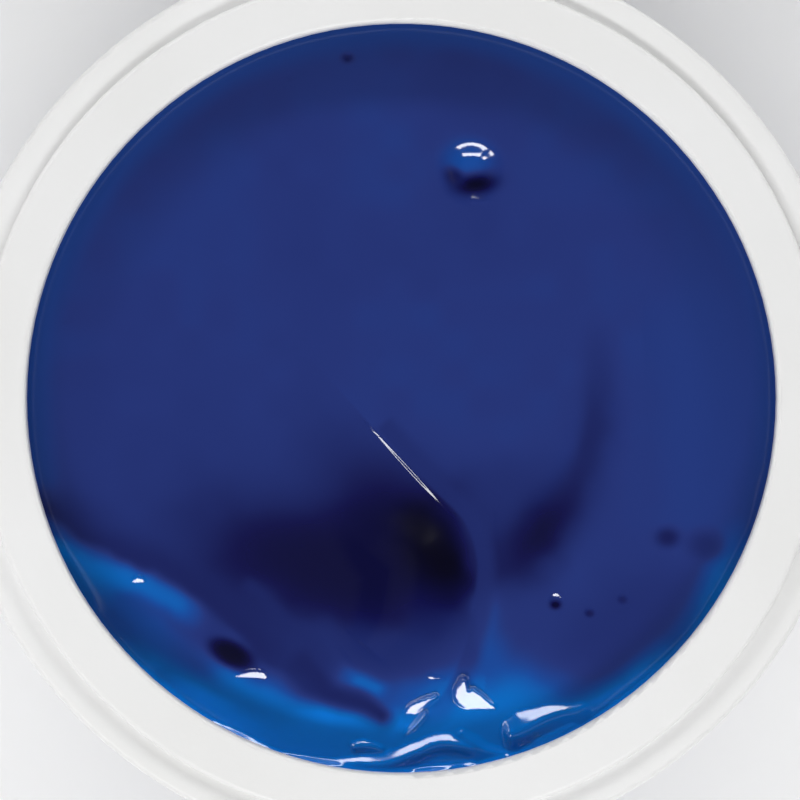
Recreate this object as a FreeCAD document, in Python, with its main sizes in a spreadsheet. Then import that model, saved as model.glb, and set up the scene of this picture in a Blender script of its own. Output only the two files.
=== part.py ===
import FreeCAD, Part
import Sketcher
import math
import os

from FreeCAD import Placement, Rotation, Vector

# A clear wide-mouth jar full of thick paint. A ribbed collar screws on the jar's neck, and a
# full-width flip lid turns on a steel pin at the back of the collar. Millimetres, +Z up, origin
# at the centre of the jar's foot, +Y towards the hinge. The lid is drawn closed and then placed
# open on its stop, which is the rest pose.

os.makedirs("parts", exist_ok=True)
doc = FreeCAD.newDocument("paint_jar")

DRIVING = {
    # jar
    "jar_radius": 35.7,
    "jar_rim": 76.0,
    "wall": 1.1,
    "neck_radius": 33.55,
    "mouth_radius": 31.6,
    "shoulder_low": 60.8,
    "shoulder_high": 64.8,
    "foot_inner": 28.0,
    "push_up": 1.5,
    "push_up_radius": 26.0,
    "floor_thickness": 1.5,
    "heel_round": 4.5,
    "shoulder_round": 1.2,
    "rim_round": 0.45,
    # screw thread, shared by the neck and the collar
    "thread_radius": 34.75,
    "pitch": 4.2333,
    "neck_turns": 1.25,
    "neck_thread_low": 67.9,
    "crest_half": 0.6,
    "flank_run": 0.5,
    "flank_rise": 1.2,
    "thread_root": 0.2,
    # collar
    "collar_radius": 36.9,
    "collar_low": 66.5,
    "collar_bore": 35.2,
    "collar_crest": 34.05,
    "collar_crest_half": 0.5,
    "collar_turns": 1.055,
    "collar_start_angle": 120.0,
    "flank_drop": 1.54,
    "plate_low": 77.0,
    "parting": 77.6,
    "land_top": 78.6,
    "land_radius": 34.4,
    "opening_radius": 30.4,
    "collar_round": 0.4,
    "rib_count": 60.0,
    "rib_cut": 0.5,
    "rib_circle": 37.1,
    "rib_low": 67.5,
    "rib_high": 76.7,
    # hinge
    "axis_back": 40.0,
    "axis_high": 77.6,
    "stop_wall": 37.0,
    "ear_outer": 11.0,
    "ear_inner": 7.0,
    "ear_radius": 2.2,
    "ear_foot": 71.0,
    "knuckle_half": 6.6,
    "pin_radius": 1.15,
    "pin_half": 10.9,
    "pin_press": 0.01,
    "pin_running": 0.05,
    "pin_chamfer": 0.25,
    "open_angle": 200.0,
    "stop_gap": 0.03,
    "stop_width": 1.8,
    # lid, in its closed place
    "lid_low": 77.65,
    "lid_under": 78.65,
    "lid_top": 80.05,
    "lid_skirt_bore": 34.8,
    "plug_outer": 30.1,
    "plug_inner": 28.9,
    "plug_low": 76.45,
    "lid_round": 0.7,
    "tab_half": 8.0,
    "tab_front": 39.3,
    "tab_round": 2.2,
    "seal_seat_inner": 31.1,
    "seal_seat_outer": 33.9,
    "seal_seat_depth": 0.55,
    "seal_inner": 31.15,
    "seal_outer": 33.85,
    "seal_low": 78.63,
    "seal_high": 79.17,
    "lid_label_radius": 27.0,
    "sticker_gap": 0.03,
    "sticker_thickness": 0.12,
    # gasket between rim and collar
    "gasket_inner": 31.9,
    "gasket_outer": 34.9,
    "gasket_low": 76.02,
    "gasket_high": 76.98,
    # label round the jar
    "label_inner": 35.74,
    "label_thickness": 0.12,
    "label_low": 9.0,
    "label_high": 55.0,
    "label_angle": 322.0,
    # paint
    "paint_gap": 0.04,
    "paint_level": 74.2,
    "paint_bulk_top": 75.4,
    "relief": 1.0,
    "patch_half": 34.0,
}

sheet = doc.addObject("Spreadsheet::Sheet", "Sizes")
for row, (alias, number) in enumerate(DRIVING.items(), start=1):
    sheet.set("A%d" % row, alias)
    sheet.set("B%d" % row, str(number))
    sheet.setAlias("B%d" % row, alias)
doc.recompute()


class Size:
    """A length or angle that carries both its number and the expression that makes it."""

    def __init__(self, number, text):
        self.number = number
        self.text = text

    def combine(self, other, sign, number):
        text = other.text if isinstance(other, Size) else repr(float(other))
        return Size(number, "(%s %s %s)" % (self.text, sign, text))

    def __add__(self, other):
        return self.combine(other, "+", self.number + plain(other))

    def __sub__(self, other):
        return self.combine(other, "-", self.number - plain(other))

    def __mul__(self, other):
        return self.combine(other, "*", self.number * plain(other))

    def __neg__(self):
        return Size(-self.number, "(-1 * %s)" % self.text)


def plain(value):
    return value.number if isinstance(value, Size) else float(value)


def size(alias):
    return Size(float(sheet.get(alias)), "Sizes." + alias)


def bind(thing, path, value):
    """Ties one property to the sheet."""
    thing.setExpression(path, value.text)


def origin_plane(body, role):
    for feature in body.Origin.OriginFeatures:
        if feature.Role == role:
            return feature
    raise ValueError("no origin feature " + role)


def new_body(label):
    body = doc.addObject("PartDesign::Body", label)
    body.Label = label
    return body


def new_sketch(body, name, role, lift=None, turn=None):
    """A sketch on one of the body's own origin planes, lifted along its normal or turned about Z."""
    sketch = body.newObject("Sketcher::SketchObject", name)
    sketch.AttachmentSupport = [(origin_plane(body, role), "")]
    sketch.MapMode = "FlatFace"
    if lift is not None:
        bind(sketch, "AttachmentOffset.Base.z", lift)
    if turn is not None:
        sketch.AttachmentOffset = Placement(Vector(), Rotation(Vector(0, 1, 0), turn.number))
    return sketch


def pin_point(sketch, edge, end, x, y):
    """Holds one end of an edge at (x, y) from the sketch's origin."""
    for kind, axis, value in (("DistanceX", -2, x), ("DistanceY", -1, y)):
        if plain(value) == 0:
            sketch.addConstraint(Sketcher.Constraint("PointOnObject", edge, end, axis))
        else:
            number = sketch.addConstraint(
                Sketcher.Constraint(kind, -1, 1, edge, end, plain(value))
            )
            if isinstance(value, Size):
                bind(sketch, "Constraints[%d]" % number, value)


def polygon(sketch, corners):
    """A closed outline whose every corner is tied to the sheet."""
    points = [Vector(plain(x), plain(y), 0) for x, y in corners]
    first = sketch.GeometryCount
    for i, point in enumerate(points):
        sketch.addGeometry(Part.LineSegment(point, points[(i + 1) % len(points)]), False)
    count = len(points)
    for i in range(count):
        after = first + (i + 1) % count
        sketch.addConstraint(Sketcher.Constraint("Coincident", first + i, 2, after, 1))
    for i, (x, y) in enumerate(corners):
        pin_point(sketch, first + i, 1, x, y)


def circle(sketch, x, y, radius):
    centre = Vector(plain(x), plain(y), 0)
    edge = sketch.addGeometry(Part.Circle(centre, Vector(0, 0, 1), plain(radius)), False)
    pin_point(sketch, edge, 3, x, y)
    number = sketch.addConstraint(Sketcher.Constraint("Radius", edge, radius.number))
    bind(sketch, "Constraints[%d]" % number, radius)


def revolve(body, name, corners, kind="Revolution"):
    """Turns a closed (radius, height) outline about Z, as material or as a groove."""
    sketch = new_sketch(body, name + "_outline", "XZ_Plane")
    polygon(sketch, corners)
    feature = body.newObject("PartDesign::" + kind, name)
    feature.Profile = sketch
    feature.ReferenceAxis = (sketch, ["V_Axis"])
    feature.Angle = 360
    return feature


def extrude(body, name, sketch, length, kind="Pad", both=False, flip=False):
    feature = body.newObject("PartDesign::" + kind, name)
    feature.Profile = sketch
    if both:
        feature.Midplane = True
    feature.Reversed = flip
    bind(feature, "Length", length)
    return feature


def ring_edges(shape, rings):
    """Names of the circular edges about Z at each (radius, height)."""
    names = []
    for i, edge in enumerate(shape.Edges, start=1):
        curve = edge.Curve
        if not isinstance(curve, Part.Circle):
            continue
        if math.hypot(curve.Center.x, curve.Center.y) > 0.001:
            continue
        for radius, height in rings:
            if abs(curve.Radius - plain(radius)) < 0.01 and abs(curve.Center.z - plain(height)) < 0.01:
                names.append("Edge%d" % i)
    return names


def round_rings(body, name, base, rings, radius):
    """Rounds the given circular edges of the base feature."""
    doc.recompute()
    names = ring_edges(base.Shape, rings)
    if len(names) < len(rings):
        raise ValueError("%s found %d of %d edges" % (name, len(names), len(rings)))
    fillet = body.newObject("PartDesign::Fillet", name)
    fillet.Base = (base, names)
    bind(fillet, "Radius", radius)
    return fillet


def helix_ridge(body, name, corners, turns, turn=None):
    """A right-hand thread ridge swept up from its outline."""
    sketch = new_sketch(body, name + "_outline", "XZ_Plane", turn=turn)
    polygon(sketch, corners)
    doc.recompute()
    ridge = body.newObject("PartDesign::AdditiveHelix", name)
    ridge.Profile = sketch
    ridge.ReferenceAxis = (sketch, ["V_Axis"])
    ridge.Mode = 1
    bind(ridge, "Pitch", size("pitch"))
    bind(ridge, "Turns", turns)
    ridge.LeftHanded = False
    ridge.Reversed = False
    return ridge


def volume_of(feature):
    doc.recompute()
    return feature.Shape.Volume


def must_cut(name, before, after):
    if not after < before - 0.5:
        raise ValueError("%s removed nothing" % name)


NOTHING = 0.0

# --- jar: one clear moulding with a push-up base, a short shoulder and a threaded neck
jar = new_body("jar_body")
inner = size("jar_radius") - size("wall")
floor_high = size("push_up") + size("floor_thickness")
jar_turned = revolve(
    jar,
    "jar_turned",
    [
        (NOTHING, size("push_up")),
        (size("push_up_radius"), size("push_up")),
        (size("foot_inner"), NOTHING),
        (size("jar_radius"), NOTHING),
        (size("jar_radius"), size("shoulder_low")),
        (size("neck_radius"), size("shoulder_high")),
        (size("neck_radius"), size("jar_rim")),
        (size("mouth_radius"), size("jar_rim")),
        (size("mouth_radius"), size("shoulder_high") - 0.4),
        (inner, size("shoulder_low") - 0.4),
        (inner, size("floor_thickness")),
        (size("foot_inner") + 0.6, size("floor_thickness")),
        (size("push_up_radius") + 0.6, floor_high),
        (NOTHING, floor_high),
    ],
)
jar_heel = round_rings(
    jar,
    "jar_heel",
    jar_turned,
    [(size("jar_radius"), NOTHING)],
    size("heel_round"),
)
jar_floor_corner = round_rings(
    jar,
    "jar_floor_corner",
    jar_heel,
    [(inner, size("floor_thickness"))],
    size("heel_round") - size("wall"),
)
jar_shoulders = round_rings(
    jar,
    "jar_shoulders",
    jar_floor_corner,
    [
        (size("jar_radius"), size("shoulder_low")),
        (inner, size("shoulder_low") - 0.4),
        (size("neck_radius"), size("shoulder_high")),
        (size("mouth_radius"), size("shoulder_high") - 0.4),
    ],
    size("shoulder_round"),
)
jar_rim = round_rings(
    jar,
    "jar_rim",
    jar_shoulders,
    [(size("neck_radius"), size("jar_rim")), (size("mouth_radius"), size("jar_rim"))],
    size("rim_round"),
)
neck_root = size("neck_radius") - size("thread_root")
neck_root_half = size("crest_half") + size("flank_run") + size("thread_root") * 0.4167
neck_thread = helix_ridge(
    jar,
    "neck_thread",
    [
        (neck_root, size("neck_thread_low") - neck_root_half),
        (size("thread_radius"), size("neck_thread_low") - size("crest_half")),
        (size("thread_radius"), size("neck_thread_low") + size("crest_half")),
        (neck_root, size("neck_thread_low") + neck_root_half),
    ],
    size("neck_turns"),
)

# --- paint: fills the jar, with a worked surface of folds, pits and a torn ridge
paint_bulk = new_body("paint_bulk")
paint_side = inner - size("paint_gap")
paint_floor = size("floor_thickness") + size("paint_gap")
paint_turned = revolve(
    paint_bulk,
    "paint_turned",
    [
        (NOTHING, floor_high + size("paint_gap")),
        (size("push_up_radius") + 0.6, floor_high + size("paint_gap")),
        (size("foot_inner") + 0.6, paint_floor),
        (paint_side, paint_floor),
        (paint_side, size("shoulder_low") - 0.4),
        (size("mouth_radius") - size("paint_gap"), size("shoulder_high") - 0.4),
        (size("mouth_radius") - size("paint_gap"), size("paint_bulk_top")),
        (NOTHING, size("paint_bulk_top")),
    ],
)
paint_heel = round_rings(
    paint_bulk,
    "paint_heel",
    paint_turned,
    [(paint_side, paint_floor)],
    size("heel_round") - size("wall"),
)
paint_shoulder = round_rings(
    paint_bulk,
    "paint_shoulder",
    paint_heel,
    [
        (paint_side, size("shoulder_low") - 0.4),
        (size("mouth_radius") - size("paint_gap"), size("shoulder_high") - 0.4),
    ],
    size("shoulder_round"),
)

# each fold: height, half-width, and the line its crest follows
FOLDS = [
    (0.75, 1.7, [(-2.2, -2.6), (2.5, -7.6), (5.3, -10.1), (5.8, -16.7), (5.0, -20.8), (3.2, -24.1)]),
    (0.60, 2.2, [(-28.6, -10.9), (-23.3, -13.4), (-17.5, -16.7), (-12.5, -20.8), (-8.4, -24.1)]),
    (-0.80, 2.2, [(16.0, 1.5), (15.6, -3.5), (13.9, -7.6), (9.8, -11.7), (7.3, -13.4)]),
    (0.45, 1.7, [(24.7, -15.9), (19.7, -21.7), (13.1, -25.0)]),
    (0.40, 1.2, [(4.4, -26.2), (6.6, -24.3), (8.6, -20.8)]),
    (0.35, 1.5, [(-5.9, -29.0), (0.2, -28.6), (6.5, -29.8)]),
]
# each hollow: depth, radius and centre
HOLLOWS = [
    (1.20, 3.0, (1.9, -12.1)),
    (1.10, 1.9, (5.8, 18.7)),
    (0.45, 1.7, (-14.0, -21.2)),
    (0.45, 4.5, (18.1, -18.4)),
    (0.25, 6.0, (-20.0, 6.0)),
]


def distance_to_line(x, y, line):
    best = 1e9
    for (x1, y1), (x2, y2) in zip(line, line[1:]):
        dx, dy = x2 - x1, y2 - y1
        share = ((x - x1) * dx + (y - y1) * dy) / (dx * dx + dy * dy)
        share = min(1.0, max(0.0, share))
        best = min(best, math.hypot(x - x1 - share * dx, y - y1 - share * dy))
    return best


def paint_height(x, y):
    height = 0.12 * math.sin(0.19 * x + 0.8) * math.cos(0.16 * y - 0.5)
    for rise, half_width, line in FOLDS:
        height += rise * math.exp(-((distance_to_line(x, y, line) / half_width) ** 2))
    for depth, radius, (cx, cy) in HOLLOWS:
        height -= depth * math.exp(-((math.hypot(x - cx, y - cy) / radius) ** 2))
    return size("paint_level").number + size("relief").number * height


STEPS = 48
half = size("patch_half").number
grid = []
for i in range(STEPS + 1):
    x = half * (2 * i / STEPS - 1)
    column = []
    for j in range(STEPS + 1):
        y = half * (2 * j / STEPS - 1)
        column.append(Vector(x, y, paint_height(x, y)))
    grid.append(column)
skin = Part.BSplineSurface()
skin.interpolate(grid)
air = doc.addObject("Part::Feature", "paint_air")
air.Label = "paint_air"
air.Shape = skin.toShape().extrude(Vector(0, 0, 6.0))
air.Placement = Placement()
doc.recompute()
paint = doc.addObject("Part::Cut", "paint")
paint.Label = "paint"
paint.Base = paint_bulk
paint.Tool = air

# --- label round the jar, with a gap at the back
label = new_body("body_label")
label_outline = new_sketch(label, "label_outline", "XZ_Plane")
label_outer = size("label_inner") + size("label_thickness")
polygon(
    label_outline,
    [
        (size("label_inner"), size("label_low")),
        (label_outer, size("label_low")),
        (label_outer, size("label_high")),
        (size("label_inner"), size("label_high")),
    ],
)
label_wrap = label.newObject("PartDesign::Revolution", "label_wrap")
label_wrap.Profile = label_outline
label_wrap.ReferenceAxis = (label_outline, ["V_Axis"])
label_wrap.Midplane = True
bind(label_wrap, "Angle", size("label_angle"))
label.Placement = Placement(Vector(), Rotation(Vector(0, 0, 1), -90))

# --- gasket between the jar's rim and the collar
gasket = new_body("closure_gasket")
revolve(
    gasket,
    "gasket_ring",
    [
        (size("gasket_inner"), size("gasket_low")),
        (size("gasket_outer"), size("gasket_low")),
        (size("gasket_outer"), size("gasket_high")),
        (size("gasket_inner"), size("gasket_high")),
    ],
)

# --- collar: skirt, plate with a raised land, grip ribs, hinge ears and an inside thread
collar = new_body("screw_collar")
collar_turned = revolve(
    collar,
    "collar_turned",
    [
        (size("collar_bore"), size("collar_low")),
        (size("collar_radius"), size("collar_low")),
        (size("collar_radius"), size("parting")),
        (size("land_radius"), size("parting")),
        (size("land_radius"), size("land_top")),
        (size("opening_radius"), size("land_top")),
        (size("opening_radius"), size("plate_low")),
        (size("collar_bore"), size("plate_low")),
    ],
)
collar_rounds = round_rings(
    collar,
    "collar_rounds",
    collar_turned,
    [
        (size("collar_radius"), size("collar_low")),
        (size("collar_radius"), size("parting")),
        (size("land_radius"), size("land_top")),
        (size("opening_radius"), size("land_top")),
    ],
    size("collar_round"),
)
rib_sketch = new_sketch(collar, "rib_outline", "XY_Plane", lift=size("rib_low"))
circle(rib_sketch, size("rib_circle"), NOTHING, size("rib_cut"))
before_ribs = volume_of(collar)
rib = extrude(
    collar, "rib", rib_sketch, size("rib_high") - size("rib_low"), kind="Pocket", flip=True
)
must_cut("rib", before_ribs, volume_of(rib) + 0.4)
ribs = collar.newObject("PartDesign::PolarPattern", "ribs")
ribs.Originals = [rib]
ribs.Axis = (rib_sketch, ["N_Axis"])
ribs.Angle = 360
bind(ribs, "Occurrences", size("rib_count"))
collar.Tip = ribs
doc.recompute()

ear_sketch = new_sketch(collar, "ear_outline", "YZ_Plane")
polygon(
    ear_sketch,
    [
        (size("collar_bore") - 1.9, size("ear_foot")),
        (size("stop_wall"), size("ear_foot")),
        (size("axis_back") + 0.9, size("axis_high") - 2.0),
        (size("axis_back") + 0.9, size("axis_high")),
        (size("collar_bore") - 1.9, size("parting")),
    ],
)
ear_block = extrude(collar, "ear_block", ear_sketch, size("ear_outer") * 2, both=True)
doc.recompute()
barrel_sketch = new_sketch(collar, "barrel_outline", "YZ_Plane")
circle(barrel_sketch, size("axis_back"), size("axis_high"), size("ear_radius"))
barrel = extrude(collar, "ear_barrel", barrel_sketch, size("ear_outer") * 2, both=True)

before_room = volume_of(barrel)
knuckle_room_sketch = new_sketch(collar, "knuckle_room_outline", "YZ_Plane")
polygon(
    knuckle_room_sketch,
    [
        (size("stop_wall"), size("collar_low")),
        (size("axis_back") + 4, size("collar_low")),
        (size("axis_back") + 4, size("axis_high") + 4),
        (size("stop_wall"), size("axis_high") + 4),
    ],
)
knuckle_room = extrude(
    collar, "knuckle_room", knuckle_room_sketch, size("ear_inner") * 2, kind="Pocket", both=True
)
must_cut("knuckle_room", before_room, volume_of(knuckle_room))

before_bore = volume_of(knuckle_room)
pin_bore_sketch = new_sketch(collar, "pin_bore_outline", "YZ_Plane")
circle(
    pin_bore_sketch, size("axis_back"), size("axis_high"), size("pin_radius") - size("pin_press")
)
pin_bore = extrude(
    collar, "pin_bore", pin_bore_sketch, size("ear_outer") * 2 + 2, kind="Pocket", both=True
)
must_cut("pin_bore", before_bore, volume_of(pin_bore))

before_inside = volume_of(pin_bore)
inside = revolve(
    collar,
    "collar_inside",
    [
        (NOTHING, size("collar_low") - 1),
        (size("collar_bore"), size("collar_low") - 1),
        (size("collar_bore"), size("plate_low")),
        (NOTHING, size("plate_low")),
    ],
    kind="Groove",
)
must_cut("collar_inside", before_inside, volume_of(inside))

collar_root = size("collar_bore") + size("thread_root")
thread_share = Size(
    (size("collar_start_angle").number / 360.0), "(Sizes.collar_start_angle / 360)"
)
collar_thread_low = (
    size("neck_thread_low") + size("pitch") * thread_share - size("flank_drop")
)
collar_root_half = size("collar_crest_half") + size("flank_run") + size("thread_root") * 0.3
collar_thread = helix_ridge(
    collar,
    "collar_thread",
    [
        (collar_root, collar_thread_low - collar_root_half),
        (collar_root, collar_thread_low + collar_root_half),
        (size("collar_crest"), collar_thread_low + size("collar_crest_half")),
        (size("collar_crest"), collar_thread_low - size("collar_crest_half")),
    ],
    size("collar_turns"),
    turn=size("collar_start_angle"),
)

# --- hinge pin
pin = new_body("hinge_pin")
pin_sketch = new_sketch(pin, "pin_outline", "YZ_Plane")
circle(pin_sketch, size("axis_back"), size("axis_high"), size("pin_radius"))
pin_rod = extrude(pin, "pin_rod", pin_sketch, size("pin_half") * 2, both=True)
doc.recompute()
pin_ends = [
    "Edge%d" % i
    for i, edge in enumerate(pin_rod.Shape.Edges, start=1)
    if isinstance(edge.Curve, Part.Circle)
]
pin_chamfer = pin.newObject("PartDesign::Chamfer", "pin_chamfer")
pin_chamfer.Base = (pin_rod, pin_ends)
bind(pin_chamfer, "Size", size("pin_chamfer"))

# --- lid, drawn closed: top, skirt, plug ring, seat for the seal, thumb tab and hinge knuckle
lid = new_body("flip_lid")
seat_high = size("lid_under") + size("seal_seat_depth")
lid_turned = revolve(
    lid,
    "lid_turned",
    [
        (NOTHING, size("lid_under")),
        (size("plug_inner"), size("lid_under")),
        (size("plug_inner"), size("plug_low")),
        (size("plug_outer"), size("plug_low")),
        (size("plug_outer"), size("lid_under")),
        (size("seal_seat_inner"), size("lid_under")),
        (size("seal_seat_inner"), seat_high),
        (size("seal_seat_outer"), seat_high),
        (size("seal_seat_outer"), size("lid_under")),
        (size("lid_skirt_bore"), size("lid_under")),
        (size("lid_skirt_bore"), size("lid_low")),
        (size("collar_radius"), size("lid_low")),
        (size("collar_radius"), size("lid_top")),
        (NOTHING, size("lid_top")),
    ],
)
lid_rounds = round_rings(
    lid,
    "lid_rounds",
    lid_turned,
    [(size("collar_radius"), size("lid_top"))],
    size("lid_round"),
)
plug_rounds = round_rings(
    lid,
    "plug_rounds",
    lid_rounds,
    [(size("plug_outer"), size("plug_low")), (size("plug_inner"), size("plug_low"))],
    size("collar_round"),
)
doc.recompute()
tab_sketch = new_sketch(lid, "tab_outline", "XY_Plane", lift=size("lid_under"))
polygon(
    tab_sketch,
    [
        (-size("tab_half"), -size("tab_front")),
        (size("tab_half"), -size("tab_front")),
        (size("tab_half"), -size("lid_skirt_bore") + 0.6),
        (-size("tab_half"), -size("lid_skirt_bore") + 0.6),
    ],
)
tab = extrude(lid, "tab", tab_sketch, size("lid_top") - size("lid_under") - 0.2)
doc.recompute()
tab_corners = []
for number, edge in enumerate(tab.Shape.Edges, start=1):
    ends = [vertex.Point for vertex in edge.Vertexes]
    upright = len(ends) == 2 and math.hypot(ends[0].x - ends[1].x, ends[0].y - ends[1].y) < 0.001
    if upright and abs(ends[0].y + size("tab_front").number) < 0.001:
        tab_corners.append("Edge%d" % number)
tab_round = lid.newObject("PartDesign::Fillet", "tab_round")
tab_round.Base = (tab, tab_corners)
bind(tab_round, "Radius", size("tab_round"))
doc.recompute()

arm_sketch = new_sketch(lid, "arm_outline", "YZ_Plane")
polygon(
    arm_sketch,
    [
        (size("lid_skirt_bore") + 0.5, size("lid_low")),
        (size("axis_back"), size("lid_low")),
        (size("axis_back"), size("axis_high") + size("ear_radius")),
        (size("collar_radius") - 0.4, size("lid_top")),
        (size("lid_skirt_bore") + 0.5, size("lid_top")),
    ],
)
arm = extrude(lid, "arm", arm_sketch, size("knuckle_half") * 2, both=True)
doc.recompute()
knuckle_sketch = new_sketch(lid, "knuckle_outline", "YZ_Plane")
circle(knuckle_sketch, size("axis_back"), size("axis_high"), size("ear_radius"))
knuckle = extrude(lid, "knuckle", knuckle_sketch, size("knuckle_half") * 2, both=True)
doc.recompute()
# the stop lug's flat face meets the collar's wall when the lid has opened fully
reach = size("axis_back") - size("stop_wall") - size("stop_gap")
lean = math.radians(size("open_angle").number - 180.0)
along = Size(math.cos(lean), "cos(Sizes.open_angle * 1deg - 180deg)")
rising = Size(math.sin(lean), "sin(Sizes.open_angle * 1deg - 180deg)")
lug_sketch = new_sketch(lid, "lug_outline", "YZ_Plane")
foot_y = size("axis_back") + reach * along
foot_z = size("axis_high") + reach * rising
polygon(
    lug_sketch,
    [
        (size("axis_back"), size("axis_high")),
        (foot_y, foot_z),
        (foot_y - size("stop_width") * rising, foot_z + size("stop_width") * along),
        (
            size("axis_back") - size("ear_radius") * rising,
            size("axis_high") + (size("ear_radius") - 0.02) * along,
        ),
    ],
)
lug = extrude(lid, "stop_lug", lug_sketch, size("knuckle_half") * 2, both=True)
before_knuckle_bore = volume_of(lug)
knuckle_bore_sketch = new_sketch(lid, "knuckle_bore_outline", "YZ_Plane")
circle(
    knuckle_bore_sketch,
    size("axis_back"),
    size("axis_high"),
    size("pin_radius") + size("pin_running"),
)
knuckle_bore = extrude(
    lid, "knuckle_bore", knuckle_bore_sketch, size("knuckle_half") * 2 + 2, kind="Pocket", both=True
)
must_cut("knuckle_bore", before_knuckle_bore, volume_of(knuckle_bore))

# --- soft seal in the lid's underside
seal = new_body("lid_seal")
revolve(
    seal,
    "seal_ring",
    [
        (size("seal_inner"), size("seal_low")),
        (size("seal_outer"), size("seal_low")),
        (size("seal_outer"), size("seal_high")),
        (size("seal_inner"), size("seal_high")),
    ],
)

# --- round sticker on the lid's top
sticker = new_body("lid_label")
sticker_low = size("lid_top") + size("sticker_gap")
sticker_sketch = new_sketch(sticker, "sticker_outline", "XY_Plane", lift=sticker_low)
circle(sticker_sketch, NOTHING, NOTHING, size("lid_label_radius"))
extrude(sticker, "sticker_disc", sticker_sketch, size("sticker_thickness"))

# --- the lid and what it carries swing back about the pin to the open stop
swing = Rotation(Vector(1, 0, 0), -size("open_angle").number)
hinge_point = Vector(0, size("axis_back").number, size("axis_high").number)
for body in (lid, seal, sticker):
    body.Placement = Placement(hinge_point - swing.multVec(hinge_point), swing)

doc.recompute()

# --- every object is checked, then each piece is written
for thing in doc.Objects:
    if "Invalid" in thing.State or "Error" in thing.State:
        raise RuntimeError("%s failed: %s" % (thing.Name, thing.State))

NODES = {
    "jar_body": jar,
    "paint": paint,
    "body_label": label,
    "closure_gasket": gasket,
    "screw_collar": collar,
    "hinge_pin": pin,
    "flip_lid": lid,
    "lid_seal": seal,
    "lid_label": sticker,
}
for name, thing in NODES.items():
    shape = thing.Shape
    if shape.isNull() or not shape.isValid() or len(shape.Solids) != 1:
        raise RuntimeError("%s is not one valid solid" % name)
    box = shape.BoundBox
    print(
        "%-15s volume %10.1f mm3  x %.2f..%.2f  y %.2f..%.2f  z %.2f..%.2f"
        % (name, shape.Volume, box.XMin, box.XMax, box.YMin, box.YMax, box.ZMin, box.ZMax)
    )
    shape.exportStep("parts/%s.step" % name)
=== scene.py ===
import math

import bpy
import numpy as np
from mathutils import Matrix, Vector


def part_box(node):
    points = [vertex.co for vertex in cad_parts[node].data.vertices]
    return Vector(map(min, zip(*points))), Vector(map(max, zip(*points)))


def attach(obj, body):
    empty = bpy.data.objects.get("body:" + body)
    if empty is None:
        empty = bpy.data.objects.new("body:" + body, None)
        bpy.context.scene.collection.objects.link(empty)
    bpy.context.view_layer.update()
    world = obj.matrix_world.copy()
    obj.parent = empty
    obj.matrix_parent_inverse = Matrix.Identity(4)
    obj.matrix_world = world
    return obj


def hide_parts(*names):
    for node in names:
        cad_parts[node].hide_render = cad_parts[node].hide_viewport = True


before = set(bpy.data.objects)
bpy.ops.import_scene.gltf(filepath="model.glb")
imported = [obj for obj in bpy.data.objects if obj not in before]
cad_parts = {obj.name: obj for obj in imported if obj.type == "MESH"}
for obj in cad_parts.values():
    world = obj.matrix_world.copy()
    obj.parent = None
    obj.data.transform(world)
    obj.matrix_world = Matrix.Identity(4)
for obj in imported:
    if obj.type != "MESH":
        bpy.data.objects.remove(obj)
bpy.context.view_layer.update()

MM = 0.001

# ---------------------------------------------------------------- places on the jar, in mm
OPENING_Z = 78.6          # top of the collar's land
LEVEL = 74.2              # mean level of the paint
MOUTH_R = 31.6            # inside of the jar's neck
WALL_R = 34.6             # inside of the jar's wall
NECK_END_Z = 65.1         # where the neck's inside starts to widen
HEEL_Z = 5.0              # where the wall's inside starts to curve in
HEEL_R = 3.4              # radius of that curve
PUSH_UP_FOOT_R = 28.7     # outer edge of the push-up in the jar's floor
PUSH_UP_TOP_R = 26.7
PUSH_UP_Z = 3.06
WET = 0.02                # the paint's side reaches this far into the jar, so that no air shows between

# ---------------------------------------------------------------- paint surface, in mm
STEP_END = 11             # a step's effect is gone this far from its line
STEP_FADE = 4             # and it goes over this width
LIP_AT = 1.35             # place and width of a hollow's lip, in radii
LIP_WIDE = 0.28
NOISE_HALF = 40           # half of the square that the random field covers
NOISE_MARGIN = 1.5        # cells outside it


def smooth_line(points, steps=14):
    """A Catmull-Rom line through the points, as an array of close points."""
    p = [np.array(q, float) for q in points]
    p = [2 * p[0] - p[1]] + p + [2 * p[-1] - p[-2]]
    out = []
    for a, b, c, d in zip(p, p[1:], p[2:], p[3:]):
        for k in range(steps):
            t = k / steps
            out.append(
                0.5 * ((2 * b) + (c - a) * t + (2 * a - 5 * b + 4 * c - d) * t * t
                       + (3 * b - a - 3 * c + d) * t ** 3)
            )
    out.append(p[-2])
    return np.array(out)


def along(x, y, points):
    """(signed distance, positive to the left of travel; share 0..1 along) to a smooth line."""
    line = smooth_line(points)
    near = np.full(x.shape, 1e9)
    signed = np.zeros_like(x)
    share = np.zeros_like(x)
    lengths = np.hypot(*(line[1:] - line[:-1]).T)
    run = np.concatenate([[0], np.cumsum(lengths)])
    for i, (a, b) in enumerate(zip(line, line[1:])):
        d = b - a
        t = np.clip(((x - a[0]) * d[0] + (y - a[1]) * d[1]) / (d @ d), 0, 1)
        px, py = x - a[0] - t * d[0], y - a[1] - t * d[1]
        dist = np.hypot(px, py)
        side = np.where(d[0] * py - d[1] * px >= 0, 1.0, -1.0)
        closer = dist < near
        near = np.where(closer, dist, near)
        signed = np.where(closer, side * dist, signed)
        share = np.where(closer, (run[i] + t * lengths[i]) / run[-1], share)
    return signed, share


def ease(t):
    """0 up to t = 0, 1 from t = 1, and smooth between."""
    t = np.clip(t, 0, 1)
    return t * t * (3 - 2 * t)


def taper(share, start, end):
    """1 along the line, easing to 0 over the given shares at its ends."""
    up = ease(share / start) if start else 1.0
    down = ease((1 - share) / end) if end else 1.0
    return up * down


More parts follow.
